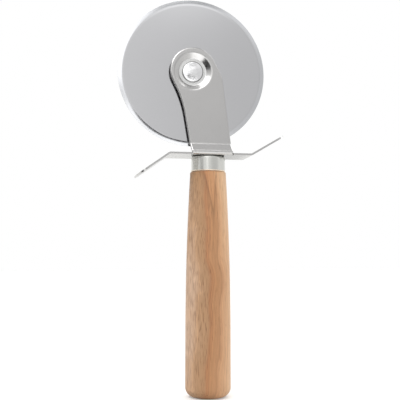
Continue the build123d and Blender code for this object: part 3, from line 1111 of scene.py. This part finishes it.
@dataclass
class Handle:
    """Turned wooden handle with its tenon and bores. Sizes in millimetres."""

    lathe: Lathe
    butt_radius: float = 11.4
    butt_rounding: float = 5.0
    straight_height: float = 28.0
    length: float = WOOD_TOP
    top_radius: float = 9.05
    top_rounding: float = 0.15
    tenon_radius: float = 7.46
    tenon_top: float = GUARD_UNDER - FERRULE_END
    tenon_rounding: float = 0.3
    insert_bore: float = 3.52
    insert_low: float = 107.4
    pilot_radius: float = 2.8
    pilot_low: float = 104.8
    rounding_steps: int = 12
    straight_steps: int = 8
    taper_steps: int = 48
    acacia: OiledAcacia = OiledAcacia()

    def build(self) -> bpy.types.Object:
        """Turns the handle.

        Returns:
            The piece, for boring.
        """
        taper = self._taper()
        step = (self.straight_height - self.butt_rounding) / self.straight_steps
        grip = [(self.butt_radius, self.butt_rounding + step * k) for k in range(1, self.straight_steps)]
        smooth = [*grip, *taper[:-1]]
        points = [
            (0.0, 0.0), (self.butt_radius, 0.0), *smooth, (self.top_radius, self.length),
            (self.tenon_radius, self.length), (self.tenon_radius, self.tenon_top),
            (self.insert_bore, self.tenon_top), (self.insert_bore, self.insert_low),
            (self.pilot_radius, self.insert_low), (self.pilot_radius, self.pilot_low), (0.0, self.pilot_low)]
        radii = [0, self.butt_rounding, *[0] * len(smooth), self.top_rounding, 0, self.tenon_rounding]
        return self.lathe.turn("wooden_handle", rounded(points, radii, self.rounding_steps), Turning.HANDLE,
                               self.acacia.build())

    def _taper(self) -> list[Point]:
        """Long round stretch that leaves the straight grip smoothly and narrows to the shoulder.

        Returns:
            Points of the outline, upwards.
        """
        drop = self.butt_radius - self.top_radius
        rise = self.length - self.top_rounding - self.straight_height
        bend = (drop * drop + rise * rise) / (2 * drop)
        angles = [asin(rise / bend) * k / self.taper_steps for k in range(self.taper_steps + 1)]
        low = self.straight_height
        return [(self.butt_radius - bend * (1 - cos(a)), low + bend * sin(a)) for a in angles]


@dataclass
class GuardFixing:
    """Screw, spring washer, brass insert and dowels that hold guard and ferrule. Sizes in millimetres."""

    lathe: Lathe
    guard_top: float = GUARD_UNDER + SHEET
    dowel_x: float = 5.48
    dowel_radius: float = 0.9
    dowel_length: float = 9.0
    dowel_fit: float = 0.02
    dowel_rounding: float = 0.2
    rounding_steps: int = 3
    segments: int = 32
    overrun: float = 1.0
    broken_edge: float = 0.08
    machined: SteelFinish = SteelFinish(
        # Plain stainless fastener, rolled and washed: duller, with fine tool marks.
        name="machined_stainless", light="#CBCBCA", dark="#B9B9B8", cloud_mm=(2.0, 2.0, 2.0),
        roughness=(0.22, 0.34), marks_mm=(0.4, 0.4, 0.4), marks_depth_mm=0.003)
    brass: PlainFinish = PlainFinish(
        # Free-cutting brass, a little duller than the bush, as nothing runs on it.
        name="turned_insert_brass", light="#D3AC62", dark="#BF9449", metallic=1.0, roughness=0.3,
        texture_mm=0.4, texture_depth_mm=0.004)

    def bores(self, material: bpy.types.Material) -> list[bpy.types.Object]:
        """Makes the two dowels' bores as cutters.

        Args:
            material: any finish, which the cut faces take.

        Returns:
            One cutter for each bore.
        """
        radius = self.dowel_radius + self.dowel_fit
        low, high = self.guard_top - self.dowel_length, self.guard_top + self.overrun
        outline = [(0.0, low), (radius, low), (radius, high), (0.0, high)]
        return [self.lathe.turn("bore_cutter", outline, Turning.HANDLE, material, self.segments,
                                Vector((side * self.dowel_x * MM, 0, 0))) for side in (-1, 1)]

    def build(self) -> None:
        """Makes screw and washer from the CAD shapes, and the dowels in a row."""
        steel = self.machined.build()
        for node, name in (("handle_screw", "pan_head_screw"), ("lock_washer", "spring_washer")):
            settle(merged_copy(node, name, steel, self.broken_edge), Body.FRAME, Slot.SCREW, node)
        low, high = self.guard_top - self.dowel_length, self.guard_top
        outline = rounded([(0.0, low), (self.dowel_radius, low), (self.dowel_radius, high), (0.0, high)],
                          [0, self.dowel_rounding, self.dowel_rounding], self.rounding_steps)
        row = self.lathe.turn("locating_dowels", outline, Turning.HANDLE, steel, self.segments,
                              Vector((-self.dowel_x * MM, 0, 0)), 2, Vector((2 * self.dowel_x * MM, 0, 0)))
        settle(row, Body.FRAME, Slot.SCREW, "locating_pins")
        dress("threaded_insert", self.brass.build())


# Studio


def direction(azimuth: float, elevation: float) -> Vector:
    """Way from the tool to a place in the room.

    Args:
        azimuth: degrees to the right of the front.
        elevation: degrees above the table.

    Returns:
        A vector of length one.
    """
    a, e = radians(azimuth), radians(elevation)
    return Vector((sin(a) * cos(e), -cos(a) * cos(e), sin(e)))


@dataclass(frozen=True)
class StudioZone:
    """A soft patch of the studio's walls: where it is, how far it reaches and how bright it is."""

    azimuth: float
    elevation: float
    reach: float
    softness: float
    level: float

    def laid_over(self, room: NodeWork, way: Socket, level: Socket) -> Socket:
        """Lays the patch over what is there.

        Args:
            room: the world's tree.
            way: way that a ray goes.
            level: brightness so far.

        Returns:
            The brightness with this patch.
        """
        near = room.node("ShaderNodeVectorMath", {"operation": "DOT_PRODUCT"}, {
            0: way, 1: direction(self.azimuth, self.elevation)}).outputs["Value"]
        rim, heart = cos(radians(self.reach + self.softness)), cos(radians(self.reach))
        return room.mix(room.spread(near, (rim, heart), smooth=True), level, self.level)


@dataclass(frozen=True)
class SoftLamp:
    """A square soft lamp that looks at the tool's middle. Angles in degrees, lengths in metres."""

    name: str
    azimuth: float
    elevation: float
    distance: float
    size: float
    watts: float
    aim_height: float = 0.1

    def build(self) -> None:
        """Hangs the lamp."""
        data = bpy.data.lights.new(self.name, "AREA")
        data.shape, data.size, data.energy = "SQUARE", self.size, self.watts
        back = direction(self.azimuth, self.elevation)
        place = Matrix.Translation(Vector((0.0, 0.0, self.aim_height)) + back * self.distance)
        put(self.name, data).matrix_world = place @ back.to_track_quat("Z", "Y").to_matrix().to_4x4()


@dataclass(frozen=True)
class Studio:
    """White room with soft zones in front that the metal mirrors, a pale table and soft lamps."""

    wall: float = 0.95
    backdrop: float = 1.0
    # Share of the way to the back over which the walls turn into the backdrop.
    backdrop_depth: Point = (0.0, 0.3)
    # Each zone lies over those before it.
    zones: tuple[StudioZone, ...] = (
        StudioZone(azimuth=80.0, elevation=5.0, reach=35.0, softness=20.0, level=0.91),
        StudioZone(azimuth=-105.0, elevation=5.0, reach=25.0, softness=20.0, level=0.86),
        StudioZone(azimuth=22.0, elevation=12.0, reach=4.0, softness=16.0, level=0.76),
        StudioZone(azimuth=39.0, elevation=4.0, reach=15.0, softness=8.0, level=0.71),
        StudioZone(azimuth=20.0, elevation=72.0, reach=18.0, softness=14.0, level=0.76),
        StudioZone(azimuth=9.0, elevation=42.0, reach=8.0, softness=7.0, level=0.57),
        StudioZone(azimuth=2.0, elevation=54.0, reach=8.0, softness=5.0, level=2.4),
        StudioZone(azimuth=9.0, elevation=25.0, reach=1.0, softness=8.0, level=1.4),
        StudioZone(azimuth=-50.0, elevation=-16.0, reach=20.0, softness=4.0, level=0.03),
        StudioZone(azimuth=-5.0, elevation=-14.0, reach=16.0, softness=6.0, level=1.6),
        StudioZone(azimuth=-12.0, elevation=-49.0, reach=18.0, softness=10.0, level=2.1),
        StudioZone(azimuth=-16.0, elevation=20.0, reach=8.0, softness=6.0, level=1.8),
        StudioZone(azimuth=-60.0, elevation=8.0, reach=3.0, softness=7.0, level=0.68),
        StudioZone(azimuth=-60.0, elevation=40.0, reach=12.0, softness=14.0, level=1.0),
        StudioZone(azimuth=-2.0, elevation=-2.0, reach=5.0, softness=3.0, level=0.06),
        StudioZone(azimuth=8.0, elevation=-4.0, reach=4.0, softness=3.0, level=0.0),
        StudioZone(azimuth=-27.0, elevation=35.0, reach=13.0, softness=7.0, level=1.5),
        StudioZone(azimuth=185.0, elevation=48.0, reach=18.0, softness=12.0, level=2.0),
        StudioZone(azimuth=-168.0, elevation=18.0, reach=8.0, softness=14.0, level=1.25),
    )
    lamps: tuple[SoftLamp, ...] = (
        SoftLamp("key_softbox", azimuth=-50.0, elevation=52.0, distance=0.9, size=0.6, watts=3.2),
        SoftLamp("fill_softbox", azimuth=112.0, elevation=46.0, distance=1.0, size=0.7, watts=3.2),
    )
    table_front: float = 0.12
    table_side: float = 1.6
    table_back: float = 3.0
    table_tone: str = "#D6D6D4"
    table_roughness: float = 0.9
    table_specular: float = 0.1
    glow: float = 0.26
    mirrored_glow: float = 0.2

    def build(self) -> None:
        """Makes the walls, the table and the lamps."""
        self._walls()
        self._table()
        for lamp in self.lamps:
            lamp.build()

    def _walls(self) -> None:
        """Sets the world: a white backdrop to the camera and to metal, and the zones that metal mirrors."""
        world = bpy.data.worlds.new("studio_walls")
        bpy.context.scene.world = world
        world.use_nodes = True
        room = NodeWork(world.node_tree)
        way = room.node("ShaderNodeTexCoord").outputs["Generated"]
        backwards = room.node("ShaderNodeSeparateXYZ", inputs={0: way}).outputs[1]
        to_camera, mirrored = room.ray_kinds()
        behind = room.spread(backwards, self.backdrop_depth, smooth=True)
        level = room.mix(room.math("MULTIPLY", behind, mirrored), self.wall, self.backdrop)
        for zone in self.zones:
            level = zone.laid_over(room, way, level)
        level = room.mix(to_camera, level, self.backdrop)
        light = room.node("ShaderNodeBackground", inputs={0: linear(WHITE), 1: level})
        room.node("ShaderNodeOutputWorld", inputs={0: light.outputs[0]})

    def _table(self) -> None:
        """Lays the pale table top, which keeps the tool's shadow and fades into the white walls."""
        mesh = bpy.data.meshes.new("table_top")
        x, front, back = self.table_side, self.table_front, self.table_back
        mesh.from_pydata([(-x, -front, 0), (x, -front, 0), (x, back, 0), (-x, back, 0)], [], [(0, 1, 2, 3)])
        # Pale matt laminate, with a glow that lifts it to the white of the walls behind it.
        s = Surface("pale_table", metallic=0.0)
        for name, value in (("Base Color", linear(self.table_tone)), ("Roughness", self.table_roughness),
                            ("Specular IOR Level", self.table_specular), ("Emission Color", linear(WHITE))):
            s.shader.inputs[name].default_value = value
        to_camera, mirrored = s.ray_kinds()
        dim = s.math("MULTIPLY", mirrored, self.mirrored_glow)
        s.link(s.mix(to_camera, dim, self.glow), "Emission Strength")
        mesh.materials.append(s.material)
        put("table_top", mesh)


@dataclass(frozen=True)
class Camera:
    """The photograph's camera: a little to the left of the tool and below its middle, looking up at it."""

    place_mm: Lengths = (-71.5, -382.2, 71.0)
    yaw: float = 10.6
    tilt: float = 4.02
    focal_pixels: float = 768.0
    centre_pixel: float = 208.0
    sensor_mm: float = 36.0

    def build(self) -> None:
        """Sets the camera up with the photograph's lens and framing."""
        data = bpy.data.cameras.new("camera")
        data.sensor_width = self.sensor_mm
        data.lens = self.focal_pixels / FRAME_PIXELS * self.sensor_mm
        data.shift_x = -(self.centre_pixel - FRAME_PIXELS / 2) / FRAME_PIXELS
        yaw, tilt = radians(self.yaw), radians(self.tilt)
        ahead = Vector((sin(yaw) * cos(tilt), cos(yaw) * cos(tilt), sin(tilt)))
        camera = put("camera", data)
        camera.matrix_world = (Matrix.Translation(Vector(self.place_mm) * MM)
                               @ ahead.to_track_quat("-Z", "Y").to_matrix().to_4x4())
        bpy.context.scene.camera = camera


def main() -> None:
    """Builds the tool's pieces, the studio and the camera."""
    logging.basicConfig(level=logging.INFO, format="%(name)s: %(message)s")
    bpy.context.scene.view_settings.view_transform = "Standard"
    Camera().build()
    Studio().build()
    lathe = Lathe()
    CuttingWheel(lathe).build()
    Axle(lathe).build()
    Bracket().build()
    fixing = GuardFixing(lathe)
    fixing.build()
    cup, wood = Ferrule(lathe).build(), Handle(lathe).build()
    for piece in (cup, wood):
        bored(piece, fixing.bores(piece.data.materials[0]))
    settle(cup, Body.FRAME, Slot.FERRULE, "ferrule")
    settle(wood, Body.FRAME, Slot.WOOD, "handle")


if __name__ == "__main__":
    main()
